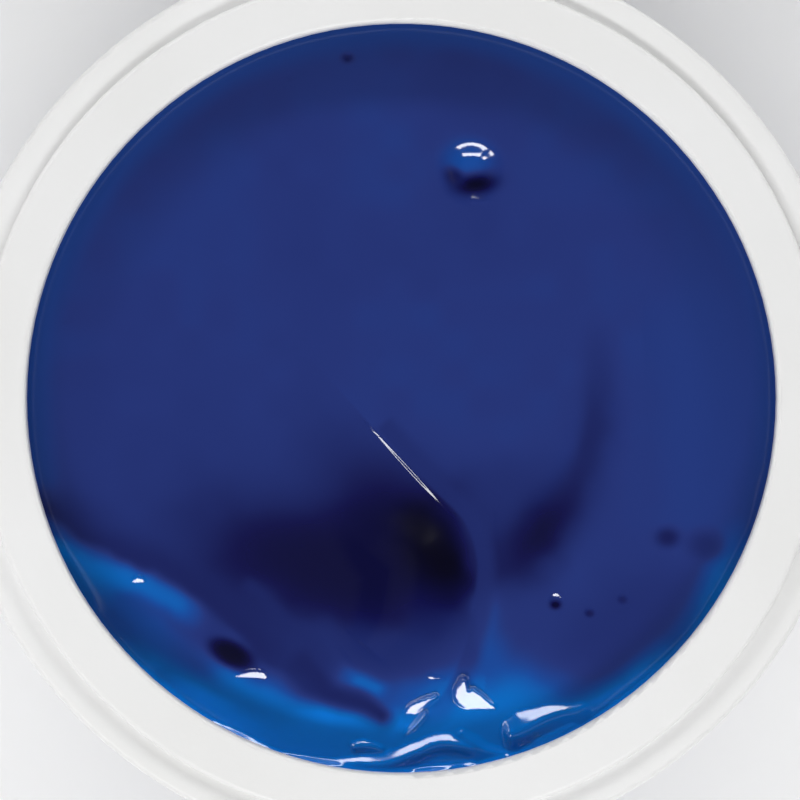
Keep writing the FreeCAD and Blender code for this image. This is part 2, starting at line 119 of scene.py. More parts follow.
def fold(x, y, points, rise, left, right, start=0.2, end=0.2):
    """A crest along a line, with its own width on each side."""
    d, share = along(x, y, points)
    w = np.where(d > 0, left, right)
    return rise * taper(share, start, end) * np.exp(-(np.abs(d) / w) ** 2)


def step(x, y, points, drop, face, reach, start=0.2, end=0.2):
    """A sheet that ends along a line: it drops on the line's right over face and recovers over reach."""
    d, share = along(x, y, points)
    right = np.maximum(-d, 0)
    recover = np.exp(-(np.maximum(right - face, 0) / reach) ** 2)
    gone = ease((STEP_END - right) / STEP_FADE)
    return -drop * taper(share, start, end) * ease(right / face) * recover * gone


def oval_radius(x, y, cx, cy, rx, ry, turn):
    """Distance from an oval's centre, with 1 on the oval. turn is in degrees."""
    c = math.cos(math.radians(turn))
    s = math.sin(math.radians(turn))
    u = ((x - cx) * c + (y - cy) * s) / rx
    v = (-(x - cx) * s + (y - cy) * c) / ry
    return np.hypot(u, v)


def hollow(x, y, cx, cy, depth, rx, ry, turn=0.0, lip=0.0, power=2.0):
    """An oval dip, with a raised lip round it if lip is given."""
    r = oval_radius(x, y, cx, cy, rx, ry, turn)
    return -depth * np.exp(-r ** power) + lip * np.exp(-((r - LIP_AT) / LIP_WIDE) ** 2)


def smoother(t):
    """Perlin's fifth-order ease."""
    return t ** 3 * (t * (6 * t - 15) + 10)


def value_noise(x, y, scale, seed):
    """Smooth random field with features about scale mm across, from -1 to 1."""
    rng = np.random.default_rng(seed)
    n = int(2 * NOISE_HALF / scale) + 6
    table = rng.uniform(-1, 1, (n, n))
    u = (x + NOISE_HALF) / scale + NOISE_MARGIN
    v = (y + NOISE_HALF) / scale + NOISE_MARGIN
    i = np.floor(u).astype(int)
    j = np.floor(v).astype(int)
    fu = smoother(u - i)
    fv = smoother(v - j)
    i = np.clip(i, 0, n - 2)
    j = np.clip(j, 0, n - 2)
    low = table[i, j] * (1 - fu) + table[i + 1, j] * fu
    high = table[i, j + 1] * (1 - fu) + table[i + 1, j + 1] * fu
    return low * (1 - fv) + high * fv


TEAR = [(-2.3, -2.4), (-0.2, -4.7), (2.5, -7.6), (5.0, -10.2), (6.0, -13.2), (5.8, -16.5),
        (5.2, -19.8), (4.1, -22.6), (2.6, -25.0), (0.4, -27.0), (-1.6, -28.4)]
GROOVE = [(16.4, 9.0), (16.0, 1.5), (15.6, -3.4), (13.8, -7.5), (10.5, -11.2), (7.9, -13.2)]
BANK_LEFT = [(-31.0, -9.6), (-28.3, -10.4), (-25.5, -12.0), (-23.0, -13.2), (-20.2, -14.9),
             (-17.3, -16.5), (-14.4, -19.0), (-12.4, -20.6), (-8.3, -23.9), (-4.6, -25.7)]
BANK_RIGHT = [(31.0, -7.0), (27.7, -11.6), (25.2, -15.7), (22.8, -19.0), (19.5, -21.8),
              (16.2, -23.9), (13.0, -25.1)]
MIRROR = 0.335            # slope of a face that mirrors the front light to the eye
MIRROR_BACK = 0.60        # the same for the light at the back, from faces that look back
CORNER = 0.14             # share of a face that eases into its neighbours, at each side
SIDE = 3.0                # how steeply a shard's flanks fall
CREASE = 0.03             # softening where two surfaces meet

# how a face falls across its width, from 0 to 1: evenly, and eased at both sides
FACE_ACROSS = np.linspace(0, 1, 200)
FACE_FALL = np.cumsum(ease(FACE_ACROSS / CORNER) * ease((1 - FACE_ACROSS) / CORNER))
FACE_FALL /= FACE_FALL[-1]


def facet(x, y, points, wide, back, start=0.12, end=0.12, slope=MIRROR, hand=1.0):
    """A crest with one even face in front of it, wide across and at the given slope, and a soft back.

    With hand 1 the face lies on the line's right, and with -1 on its left.
    """
    d, share = along(x, y, points)
    front = -d * hand
    w = np.interp(share, np.linspace(0, 1, len(wide)), wide)
    face = 1 - np.interp(np.clip(front / w, 0, 1), FACE_ACROSS, FACE_FALL)
    behind = np.exp(-(np.maximum(-front, 0) / back) ** 2)
    return slope * w * (1 - CORNER) * taper(share, start, end) * np.where(front > 0, face, behind)


def shard(x, y, points, half, foot):
    """A flat tilted patch about a line, half wide on each side, that rises from y = foot to the back."""
    d, share = along(x, y, points)
    w = np.interp(share, np.linspace(0, 1, len(half)), half)
    return MIRROR * (y - foot) - SIDE * np.maximum(np.abs(d) - w, 0)


def higher(a, b):
    """The higher of two surfaces, with a slightly softened crease."""
    return 0.5 * (a + b + np.sqrt((a - b) ** 2 + CREASE * CREASE)) - 0.5 * CREASE


def bank(x, y, points, rise, width, drop, reach, side, start, end):
    """A crest whose outer side falls away to the wall. side is 1 if the inside is on the line's left."""
    d, share = along(x, y, points)
    inside = np.exp(-(np.maximum(d * side, 0) / width) ** 2) * rise
    outside = rise - drop * ease(np.maximum(-d * side, 0) / reach)
    return taper(share, start, end) * np.where(d * side > 0, inside, outside)


def paint_height(x, y):
    """Height above the paint's mean level, in mm."""
    wx = x + 0.13 * value_noise(x, y, 2.6, 11)
    wy = y + 0.11 * value_noise(x, y, 2.2, 12)
    h = 0.05 * value_noise(x, y, 9.0, 3) + 0.008 * value_noise(x, y, 3.2, 8)
    # torn edge: the right-hand sheet stands over a deep hollow, with a thin bright lip at its top
    h += step(x, y, TEAR, 0.75, 5.5, 3.5, start=0.3, end=0.2)
    h += step(x, y, [(-3.5, -1.1)] + TEAR[:4], 0.11, 0.34, 2.5, start=0.16, end=0.6)
    h += fold(x, y, TEAR[:5], 0.06, 1.4, 0.4, start=0.45, end=0.5)
    h += hollow(x, y, 0.4, -13.0, 0.35, 3.8, 5.0, turn=-15)
    h += hollow(x, y, -5.0, -14.5, 0.30, 9.0, 5.5, turn=-20)
    # groove on the right, that runs down towards the tear
    h += fold(x, y, GROOVE, -0.42, 3.2, 2.2, start=0.6, end=0.25)
    h += fold(x, y, [(18.6, 14.0), (19.6, 4.0), (19.2, -3.0), (16.5, -10.0)], 0.20, 1.6, 2.4,
              start=0.4, end=0.4)
    h += fold(x, y, [(19.4, 8.0), (19.6, 5.0), (19.4, 1.5)], 0.04, 0.5, 0.6)
    h += fold(x, y, [(7.3, -8.5), (7.5, -11.0), (7.6, -14.0)], 0.05, 0.35, 0.45)
    # banks that fall to the jar's wall along the front
    h += bank(x, y, BANK_LEFT, 0.22, 4.2, 0.42, 4.5, 1.0, 0.35, 0.35)
    h += bank(x, y, BANK_RIGHT, 0.20, 4.2, 0.45, 4.5, -1.0, 0.15, 0.35)
    h += hollow(x, y, 18.0, -18.0, 0.25, 6.0, 3.4, turn=25)
    h += fold(x, y, [(6.6, -12.5), (6.9, -16.5), (6.6, -20.5), (5.4, -23.4)], 0.18, 1.8, 1.3,
              start=0.3, end=0.3)
    # the front centre lies calm and low, and torn folds with mirror-like faces stand on it
    calm = np.exp(-np.hypot((x - 3.5) / 15.0, (y + 28.0) / 7.5) ** 6)
    h = h + (-0.30 - h) * calm
    folds = np.zeros_like(x)
    for points, half, foot in [
        ([(5.0, -23.1), (5.0, -24.1), (6.2, -24.9), (7.6, -25.4)], (0.2, 0.85, 0.75, 0.35), -26.0),
        ([(0.1, -26.2), (0.8, -25.6), (1.9, -25.0), (2.8, -24.5)], (0.25, 0.5, 0.4, 0.12), -26.5),
        ([(2.2, -22.8), (3.3, -23.1)], (0.12, 0.3), -23.5),
        ([(-1.2, -28.4), (-0.2, -27.8), (1.1, -26.8), (2.0, -25.9)], (0.12, 0.12, 0.14, 0.1), -28.0),
        ([(-13.1, -22.8), (-12.2, -22.6), (-11.4, -22.7)], (0.3, 0.3, 0.42), -23.3),
        ([(-21.6, -15.0), (-21.3, -15.0)], (0.36, 0.36), -15.5),
    ]:
        folds = higher(folds, shard(wx, wy, points, half, foot))
    for points, wide, back, slope in [
        ([(7.9, -27.4), (9.4, -27.2), (10.8, -26.6), (12.6, -25.8), (15.6, -25.1)],
         (1.2, 1.8, 1.4, 0.8, 0.6), 1.4, MIRROR_BACK),
        ([(-10.5, -29.2), (-7.4, -29.8), (-4.3, -30.0), (-0.8, -29.7), (1.3, -28.9), (3.1, -28.2),
          (4.7, -28.3), (6.0, -28.8), (7.2, -29.6)],
         (0.35, 0.45, 0.6, 0.9, 1.1, 1.2, 1.1, 1.0, 0.8), 0.9, MIRROR_BACK),
        ([(-4.1, -28.6), (-3.2, -28.4), (-2.3, -28.5), (-1.2, -28.8)], (0.6, 0.7, 0.5, 0.4), 0.6,
         MIRROR_BACK),
        ([(1.0, -30.6), (2.6, -30.5), (4.2, -30.3), (6.2, -30.0)], (0.4, 0.6, 0.5, 0.5), 0.5,
         MIRROR_BACK),
        ([(4.5, -26.9), (5.4, -27.9), (7.0, -28.9), (9.0, -29.2)], (0.6, 0.9, 0.8, 0.5), 0.9, 0.50),
        ([(9.2, -28.8), (11.5, -28.0), (13.4, -27.0), (14.4, -26.2)], (0.5, 0.9, 0.8, 0.4), 0.8, 0.50),
    ]:
        folds = higher(folds, facet(wx, wy, points, wide, back, slope=slope, hand=-1.0))
    h += folds
    # the paint climbs the wall along the front
    radius = np.hypot(x, y)
    around = np.degrees(np.arctan2(y, x))
    climb = ease((around + 150) / 30) * ease((-30 - around) / 30)
    foot = 30.30 + 0.34 * value_noise(around / 4, radius * 0.2, 1.7, 14)
    h += 0.62 * climb * np.maximum(radius - foot, 0)
    # burst bubble at the back, steeper on its far side, with a small crest before it, and smaller ones
    middle = 19.0
    bubble_y = middle + (y - middle) * np.where(y > middle, 1.4, 0.92)
    h += hollow(x, bubble_y, 5.7, middle, 0.76, 2.0, 2.2, power=3.0)
    h += facet(x, y, [(5.4, 16.2), (6.4, 16.0), (7.4, 16.15)], (0.18, 0.26, 0.18), 0.4, 0.2, 0.2, 0.44)
    h += hollow(x, y, -13.9, -21.0, 0.12, 2.2, 1.2, turn=-28)
    for cx, cy, deep, size in [(12.6, -16.5, 0.14, 0.45), (15.4, -17.5, 0.07, 0.35),
                               (18.1, -16.4, 0.07, 0.35),
                               (-27.5, 6.6, 0.04, 0.5), (-2.2, 3.5, 0.03, 0.5),
                               (16.9, -0.7, 0.03, 0.5), (-4.4, 27.9, 0.07, 0.3),
                               (21.8, -11.4, 0.10, 0.9), (-9.1, 26.4, 0.03, 0.4)]:
        h += hollow(x, y, cx, cy, deep, size, size, lip=deep * 0.3)
    # faint drag marks on the calm area
    h += fold(x, y, [(-18.6, 13.4), (-16.0, 12.2), (-14.2, 11.4)], 0.06, 0.5, 0.9)
    h += fold(x, y, [(-12.5, 4.3), (-10.0, 4.0), (-7.5, 4.3)], 0.05, 0.4, 0.8)
    return h


# ---------------------------------------------------------------- build the paint's mesh


def side_profile():
    """(radius, height) down the jar's inside: neck, shoulder, wall, heel, floor and push-up."""
    side = [(MOUTH_R, NECK_END_Z + 0.5), (MOUTH_R, NECK_END_Z), (31.75, 64.55), (32.1, 64.1)]
    side += [(34.1, 60.9), (34.45, 60.4), (WALL_R, 59.8)]
    side += [(WALL_R, height) for height in (45.0, 30.0, 15.0, HEEL_Z)]
    for share in np.arange(1, 9) / 8:
        a = math.radians(90 * share)
        side.append((WALL_R - HEEL_R + HEEL_R * math.cos(a), HEEL_Z - HEEL_R * math.sin(a)))
    side.append((PUSH_UP_FOOT_R, HEEL_Z - HEEL_R))
    side += [(PUSH_UP_TOP_R, PUSH_UP_Z), (15.0, PUSH_UP_Z)]
    return side


def paint_mesh(rings, spokes):
    """A disk of rings and spokes carrying the worked surface, with the jar-shaped sides below."""
    radii = (MOUTH_R + WET) * np.arange(1, rings + 1) / rings
    turn = np.arange(spokes) * (2 * math.pi / spokes)
    x = np.concatenate([[0.0], np.outer(radii, np.cos(turn)).ravel()])
    y = np.concatenate([[0.0], np.outer(radii, np.sin(turn)).ravel()])
    verts = [np.stack([x, y, LEVEL + paint_height(x, y)], axis=1)]
    here = np.arange(spokes)
    following = (here + 1) % spokes
    top_fan = np.stack([np.zeros(spokes, int), 1 + here, 1 + following], axis=1)
    quads = []
    for ring in range(rings - 1):
        inner = 1 + ring * spokes
        outer = inner + spokes
        quads.append(np.stack([inner + here, outer + here, outer + following, inner + following], axis=1))
    above = 1 + (rings - 1) * spokes
    below = len(x)
    for radius, height in side_profile():
        radius += WET
        ring = [radius * np.cos(turn), radius * np.sin(turn), np.full(spokes, height)]
        verts.append(np.stack(ring, axis=1))
        quads.append(np.stack([above + here, below + here, below + following, above + following], axis=1))
        above = below
        below += spokes
    verts.append(np.array([[0.0, 0.0, PUSH_UP_Z]]))
    foot_fan = np.stack([np.full(spokes, below), above + following, above + here], axis=1)
    verts = np.concatenate(verts) * MM
    quads = np.concatenate(quads)
    tri = np.concatenate([top_fan, foot_fan])
    mesh = bpy.data.meshes.new("paint_worked")
    loops = np.concatenate([quads.ravel(), tri.ravel()])
    starts = np.concatenate([np.arange(len(quads)) * 4, len(quads) * 4 + np.arange(len(tri)) * 3])
    mesh.vertices.add(len(verts))
    mesh.vertices.foreach_set("co", verts.ravel())
    mesh.loops.add(len(loops))
    mesh.loops.foreach_set("vertex_index", loops.astype(np.int32))
    mesh.polygons.add(len(starts))
    mesh.polygons.foreach_set("loop_start", starts.astype(np.int32))
    mesh.update(calc_edges=True)
    mesh.validate()
    mesh.polygons.foreach_set("use_smooth", np.ones(len(mesh.polygons), bool))
    return mesh, x, y


rings, spokes = ((230, 1100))
mesh, px, py = paint_mesh(rings, spokes)
paint = bpy.data.objects.new("paint_worked", mesh)
bpy.context.scene.collection.objects.link(paint)

# ---------------------------------------------------------------- paint's colour zones: its own tone, with painted light and painted shade
TONE_LOW = -1.0
TONE_HIGH = 1.5


def oval(x, y, cx, cy, rx, ry, turn=0.0, power=3.0):
    """A soft oval mask: 1 in the middle, 0 well outside."""
    return np.exp(-oval_radius(x, y, cx, cy, rx, ry, turn) ** power)


def band(x, y, points, left, right, start=0.15, end=0.15, shift=0.0):
    """A soft mask about a line, with its own width on each side. shift moves it to the left."""
    d, share = along(x, y, points)
    d = d - shift
    return taper(share, start, end) * np.exp(-(np.abs(d) / np.where(d > 0, left, right)) ** 2.4)


def pigment_and_painted_light(x, y):
    """TONE_LOW where the colour is deepest, 0 in the body of the paint, TONE_HIGH where it is brightest.
    Most deep zones are painted shade and most bright zones painted light.
    """
    wx = x + 0.7 * value_noise(x, y, 5.0, 21) + 0.2 * value_noise(x, y, 1.6, 22)
    wy = y + 0.7 * value_noise(x, y, 4.4, 23) + 0.2 * value_noise(x, y, 1.5, 24)
    tone = 0.05 * value_noise(x, y, 7.0, 31) + 0.03 * value_noise(x, y, 2.4, 32)
    around = np.degrees(np.arctan2(y, x))
    r = np.hypot(x, y)

    def lay(mask, value, amount=1.0):
        """The tone, with value laid over it where the mask is 1."""
        return tone + (value - tone) * np.clip(mask * amount, 0, 1)

    # painted light: a little brighter beside the wall, where the collar shades the paint, and a little
    # brighter on the right-hand side
    tone = lay(ease((r - 27.8) / 2.6), 0.28)
    tone = lay(oval(wx, wy, 25.0, 0.0, 5.0, 18.0), 0.08)
    # painted light: bright along the front wall and up its right side, where the collar shades the paint
    # and the slopes face the front lamp
    front = ease((around + 158) / 12) * ease((-18 - around) / 16)
    deep = 2.4 + 3.2 * np.exp(-((around + 97) / 20) ** 2)
    tone = lay(front * ease((r - (31.2 - deep - 1.2)) / 2.2), 1.5)
    tone = lay(band(wx, wy, BANK_RIGHT, 3.6, 0.9, 0.1, 0.05, shift=1.6), 1.35)
    # painted light: lifts the left bank, which lies in the collar's shadow
    tone = lay(oval(wx, wy, -22.4, -18.4, 6.0, 2.5, -42), 0.52)
    tone = lay(band(wx, wy, [(-29.6, -12.0), (-27.3, -12.8), (-25.2, -13.5), (-21.4, -14.8),
                             (-18.2, -16.6), (-15.4, -19.0)], 1.15, 1.3, 0.0, 0.25), 1.15)
    tone = lay(oval(wx, wy, -12.0, -24.6, 4.5, 2.0, -28), 1.0)
    tone = lay(oval(wx, wy, -4.6, -28.6, 8.5, 2.6, -6), 1.15)
    tone = lay(oval(wx, wy, 7.2, -25.6, 8.6, 4.4, 5), 1.1)
    # painted light: the lit slope right of the tear's lower part
    tone = lay(band(wx, wy, [(6.7, -12.0), (7.0, -17.0), (6.6, -22.0)], 1.6, 0.8, 0.45, 0.0), 0.62)
    # painted shade: deep colour beside the tear, in the big lobe on the left, the hollow under the tear and
    # the groove, where the slopes face away from the lamps
    d, share = along(x, y, TEAR)
    below_tear = ease((0.3 - d) / 0.6)
    tone = lay(oval(wx, wy, -2.0, -8.0, 7.0, 4.6, -45, power=2.2) * below_tear, -0.5, 0.9)
    tone = lay(oval(wx, wy, -7.8, -13.8, 12.2, 5.8, -16, power=2.2), -0.62, 0.97)
    tone = lay(oval(wx, wy, -6.6, -13.6, 8.6, 4.3, -10, power=2.6), -0.84, 0.95)
    tone = lay(oval(wx, wy, 0.0, -12.0, 6.5, 6.6, 0), -0.86, 0.95)
    tone = lay(band(wx, wy, [(-13.3, -14.9), (-10.6, -17.6), (-7.8, -20.1), (-5.3, -22.2)], 0.8, 0.8),
               -0.35, 0.7)
    tone = lay(oval(wx, wy, -1.5, -20.4, 6.5, 1.9, -8), -0.22, 0.8)
    tone = lay(band(wx, wy, BANK_LEFT, 1.7, 0.6, 0.05, 0.3, shift=1.0), -0.5, 0.85)
    tone = lay(oval(wx, wy, 3.2, -12.2, 3.7, 5.2, 20, power=4), -1.0)
    # painted light: a bright strip on the slope below the lobe
    tone = lay(band(wx, wy, [(-5.8, -22.0), (-3.4, -22.9), (-0.9, -24.8)], 1.0, 0.9, 0.45, 0.3), 0.8)
    # painted shade: a dark streak along a trough
    tone = lay(band(wx, wy, [(-9.4, -20.9), (-6.4, -23.2), (-3.2, -25.1), (-0.6, -26.8)], 0.9, 1.2),
               -0.45)
    tone = lay(band(wx, wy, GROOVE, 1.7, 1.2, 0.55, 0.1), -0.42)
    tone = lay(oval(wx, wy, 10.6, -11.2, 5.2, 2.7, 42), -0.86)
    tone = lay(oval(wx, wy, 7.6, -12.0, 2.4, 3.2, 10), -0.5, 0.8)
    tone = lay(oval(wx, wy, 8.5, -8.0, 4.5, 3.0, 20), -0.25, 0.8)
    # painted shade: the lobe on the right
    tone = lay(oval(wx, wy, 18.4, -18.2, 7.6, 3.7, 27), -0.22, 0.9)
    # bubbles and pits: painted light on the crater's far wall, painted shade on its near wall and in the
    # pits
    tone = lay(oval(x, y, 5.5, 19.6, 2.0, 1.5), 0.5)
    tone = lay(oval(x, y, 6.1, 17.5, 1.9, 0.9, 8), -0.95)
    tone = lay(oval(x, y, 4.3, 18.1, 0.9, 0.7, -35), -0.6)
    tone = lay(oval(x, y, -13.9, -20.9, 2.15, 1.1, -28, power=5), -0.95)
    for cx, cy, size, dark in [(12.6, -16.9, 0.5, -0.9), (15.4, -17.6, 0.4, -0.6),
                               (18.1, -16.5, 0.4, -0.5), (21.8, -11.4, 1.0, -0.55),
                               (24.8, -12.0, 1.5, -0.3), (-4.4, 27.8, 0.5, -0.5)]:
        tone = lay(oval(x, y, cx, cy, size, size * 0.8), dark)
    # a little darker just beyond the tear's sharp line, on the right-hand sheet
    sheet = ease(d / 0.35) * ease((2.2 - d) / 1.2) * taper(share, 0.02, 0.55)
    tone = lay(sheet, -0.25, 0.8)
    return tone


tone = np.zeros(len(mesh.vertices))
tone[: len(px)] = pigment_and_painted_light(px, py)
attr = mesh.attributes.new("tone", "FLOAT", "POINT")
attr.data.foreach_set("value", tone.astype(np.float32))

# ---------------------------------------------------------------- material helpers


def material(name):
    """A new material with one Principled shader: (material, nodes, links, shader)."""
    m = bpy.data.materials.new(name)
    m.use_nodes = True
    m.node_tree.nodes.clear()
    out = m.node_tree.nodes.new("ShaderNodeOutputMaterial")
    bsdf = m.node_tree.nodes.new("ShaderNodeBsdfPrincipled")
    m.node_tree.links.new(bsdf.outputs[0], out.inputs[0])
    return m, m.node_tree.nodes, m.node_tree.links, bsdf


def noise(nodes, links, scale, detail=4.0, rough=0.55, stretch=(1, 1, 1)):
    """A noise texture on object coordinates in metres, so scale is in features a metre."""
    tex = nodes.new("ShaderNodeTexCoord")
    mapping = nodes.new("ShaderNodeMapping")
    mapping.inputs["Scale"].default_value = stretch
    n = nodes.new("ShaderNodeTexNoise")
    n.inputs["Scale"].default_value = scale
    n.inputs["Detail"].default_value = detail
    n.inputs["Roughness"].default_value = rough
    links.new(tex.outputs["Object"], mapping.inputs["Vector"])
    links.new(mapping.outputs[0], n.inputs["Vector"])
    return n


def ramp(nodes, links, source, stops):
    """A colour ramp on a socket. stops are (place, colour)."""
    r = nodes.new("ShaderNodeValToRGB")
    while len(r.color_ramp.elements) < len(stops):
        r.color_ramp.elements.new(0.5)
    for e, (pos, col) in zip(r.color_ramp.elements, stops):
        e.position = pos
        e.color = (*col, 1)
    links.new(source, r.inputs[0])
    return r


def span(nodes, links, source, low, high, from_low=0.0, from_high=1.0):
    """A socket mapped to the range from low to high."""
    m = nodes.new("ShaderNodeMapRange")
    m.inputs["From Min"].default_value = from_low
    m.inputs["From Max"].default_value = from_high
    m.inputs["To Min"].default_value = low
    m.inputs["To Max"].default_value = high
    links.new(source, m.inputs["Value"])
    return m.outputs["Result"]


def bump(nodes, links, source, strength, distance, bsdf):
    """Fine relief from a socket. distance is in metres."""
    b = nodes.new("ShaderNodeBump")
    b.inputs["Strength"].default_value = strength
    b.inputs["Distance"].default_value = distance
    links.new(source, b.inputs["Height"])
    links.new(b.outputs[0], bsdf.inputs["Normal"])


# ---------------------------------------------------------------- paint material
m, nodes, links, bsdf = material("blue_paint")
# the tone carries the paint's own colour with painted light and painted shade in it
at = nodes.new("ShaderNodeAttribute")
at.attribute_name = "tone"
level = span(nodes, links, at.outputs["Fac"], 0, 1, TONE_LOW, TONE_HIGH)
colour = ramp(nodes, links, level, [
    (0.0, (0.0014, 0.0011, 0.0100)),
    (0.12, (0.0045, 0.0050, 0.070)),
    (0.4, (0.0180, 0.0365, 0.205)),
    (0.6, (0.0083, 0.075, 0.367)),
    (0.8, (0.0005, 0.153, 0.567)),
    (1.0, (0.0005, 0.270, 1.0)),
])
links.new(colour.outputs[0], bsdf.inputs["Base Color"])
sheen = noise(nodes, links, 420, 3)
links.new(span(nodes, links, sheen.outputs["Fac"], 0.07, 0.12), bsdf.inputs["Roughness"])
bsdf.inputs["IOR"].default_value = 1.7
mesh.materials.append(m)
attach(paint, "jar")
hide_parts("paint")

# ---------------------------------------------------------------- materials of the other parts


def dress(node, m):
    """Puts a material on every slot of a CAD node."""
    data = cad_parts[node].data
    data.materials.clear()
    data.materials.append(m)


def calc(nodes, links, op, a, b=0.0):
    """One Math node on sockets or numbers."""
    n = nodes.new("ShaderNodeMath")
    n.operation = op
    for socket, v in zip(n.inputs, (a, b)):
        if isinstance(v, (int, float)):
            socket.default_value = v
        else:
            links.new(v, socket)
    return n.outputs[0]


def edge(nodes, links, v, at, soft):
    """0 below at, 1 above it."""
    m = nodes.new("ShaderNodeMapRange")
    m.interpolation_type = "SMOOTHSTEP"
    m.inputs["From Min"].default_value = at - soft
    m.inputs["From Max"].default_value = at + soft
    links.new(v, m.inputs["Value"])
    return m.outputs["Result"]


def within(nodes, links, v, low, high, soft):
    """1 between low and high, 0 outside."""
    above_low = edge(nodes, links, v, low, soft)
    above_high = edge(nodes, links, v, high, soft)
    return calc(nodes, links, "SUBTRACT", above_low, above_high)


def blend(nodes, links, mask, a, b):
    """Colour a where the mask is 0 and b where it is 1."""
    n = nodes.new("ShaderNodeMix")
    n.data_type = "RGBA"
    links.new(mask, n.inputs[0])
    for socket, v in ((n.inputs[6], a), (n.inputs[7], b)):
        if isinstance(v, tuple):
            socket.default_value = (*v, 1)
        else:
            links.new(v, socket)
    return n.outputs[2]


def clear_plastic():
    """Clear moulded plastic: a faint haze, and flow lines down the wall."""
    m, nodes, links, bsdf = material("clear_pet")
    haze = noise(nodes, links, 90, 4)
    tint = ramp(nodes, links, haze.outputs["Fac"], [(0.3, (0.90, 0.95, 0.97)), (0.7, (0.95, 0.98, 0.99))])
    links.new(tint.outputs[0], bsdf.inputs["Base Color"])
    links.new(span(nodes, links, haze.outputs["Fac"], 0.02, 0.07), bsdf.inputs["Roughness"])
    flow = noise(nodes, links, 60, 2, stretch=(1, 1, 0.15))
    bump(nodes, links, flow.outputs["Fac"], 0.15, 0.0006, bsdf)
    bsdf.inputs["IOR"].default_value = 1.5
    bsdf.inputs["Transmission Weight"].default_value = 1.0
    return m


def white_plastic(name, flow_scale):
    """Moulded polypropylene: faint sink and flow marks, fine grain, light scuffs."""
    m, nodes, links, bsdf = material(name)
    flow = noise(nodes, links, flow_scale, 3)
    tint = ramp(nodes, links, flow.outputs["Fac"], [(0.3, (0.86, 0.86, 0.85)), (0.7, (0.91, 0.91, 0.91))])
    grain = noise(nodes, links, 2200, 2)
    links.new(tint.outputs[0], bsdf.inputs["Base Color"])
    scuffs = noise(nodes, links, 500, 5, 0.7, stretch=(1, 0.12, 1))
    links.new(span(nodes, links, scuffs.outputs["Fac"], 0.30, 0.46), bsdf.inputs["Roughness"])
    height = calc(nodes, links, "ADD", calc(nodes, links, "MULTIPLY", flow.outputs["Fac"], 1.2),
                  calc(nodes, links, "MULTIPLY", grain.outputs["Fac"], 0.12))
    bump(nodes, links, height, 0.25, 0.0005, bsdf)
    bsdf.inputs["Subsurface Weight"].default_value = 0.08
    bsdf.inputs["Subsurface Radius"].default_value = (0.003, 0.003, 0.003)
    bsdf.inputs["Subsurface Scale"].default_value = 0.5
    return m


def foam():
    """Closed-cell foam: fine cells and no gloss."""
    m, nodes, links, bsdf = material("foam")
    cells = nodes.new("ShaderNodeTexVoronoi")
    cells.inputs["Scale"].default_value = 2600
    tex = nodes.new("ShaderNodeTexCoord")
    links.new(tex.outputs["Object"], cells.inputs["Vector"])
    tint = ramp(nodes, links, cells.outputs["Distance"],
                [(0.0, (0.62, 0.63, 0.64)), (0.6, (0.80, 0.80, 0.80))])
    links.new(tint.outputs[0], bsdf.inputs["Base Color"])
    bsdf.inputs["Roughness"].default_value = 0.9
    bump(nodes, links, cells.outputs["Distance"], 0.6, 0.0003, bsdf)
    return m


def drawn_steel():
    """Drawn wire: fine lines along the pin."""
    m, nodes, links, bsdf = material("drawn_steel")
    lines = noise(nodes, links, 1500, 3, 0.6, stretch=(0.03, 1, 1))
    tint = ramp(nodes, links, lines.outputs["Fac"], [(0.3, (0.48, 0.49, 0.51)), (0.7, (0.68, 0.69, 0.70))])
    links.new(tint.outputs[0], bsdf.inputs["Base Color"])
    links.new(span(nodes, links, lines.outputs["Fac"], 0.22, 0.42), bsdf.inputs["Roughness"])
    bsdf.inputs["Metallic"].default_value = 1.0
    bump(nodes, links, lines.outputs["Fac"], 0.2, 0.0001, bsdf)
    return m


def silicone():
    """Soft matt seal with a light bloom."""
    m, nodes, links, bsdf = material("silicone")
    haze = noise(nodes, links, 250, 5, 0.65)
    tint = ramp(nodes, links, haze.outputs["Fac"], [(0.3, (0.58, 0.62, 0.66)), (0.7, (0.70, 0.73, 0.76))])
    links.new(tint.outputs[0], bsdf.inputs["Base Color"])
    links.new(span(nodes, links, haze.outputs["Fac"], 0.38, 0.6), bsdf.inputs["Roughness"])
    bump(nodes, links, haze.outputs["Fac"], 0.2, 0.0002, bsdf)
    return m


INK = (0.0100, 0.0350, 0.230)
PAPER_LOW = (0.78, 0.78, 0.76)
PAPER_HIGH = (0.84, 0.84, 0.82)
PRINT_SOFT = 0.00008      # softness of a printed edge, m


def brushed(nodes, links, across, lengthwise, half_long, half_wide, streaks):
    """A mask like one dry brush stroke, with ragged ends."""
    centred = calc(nodes, links, "SUBTRACT", streaks, 0.5)
    ragged = calc(nodes, links, "MULTIPLY", centred, 0.9 * half_long)
    reach = calc(nodes, links, "ADD", calc(nodes, links, "ABSOLUTE", lengthwise), ragged)
    ends = within(nodes, links, reach, -half_long * 2, half_long, half_long * 0.02)
    sides = within(nodes, links, across, -half_wide, half_wide, half_wide * 0.03)
    return calc(nodes, links, "MULTIPLY", ends, sides)


def paper_base(nodes, links, bsdf):
    """Coated paper with faint fibres. Sets roughness and bump and returns the colour."""
    fibre = noise(nodes, links, 900, 5, 0.7)
    tint = ramp(nodes, links, fibre.outputs["Fac"], [(0.3, PAPER_LOW), (0.7, PAPER_HIGH)])
    links.new(span(nodes, links, fibre.outputs["Fac"], 0.40, 0.55), bsdf.inputs["Roughness"])
    bump(nodes, links, fibre.outputs["Fac"], 0.12, 0.0001, bsdf)
    return tint.outputs[0]


def printed_paint(nodes, links, streaks):
    """The colour of the printed brush stroke."""
    return ramp(nodes, links, streaks, [(0.30, (0.006, 0.016, 0.12)), (0.55, (0.012, 0.05, 0.33)),
                                        (0.75, (0.02, 0.13, 0.55))]).outputs[0]


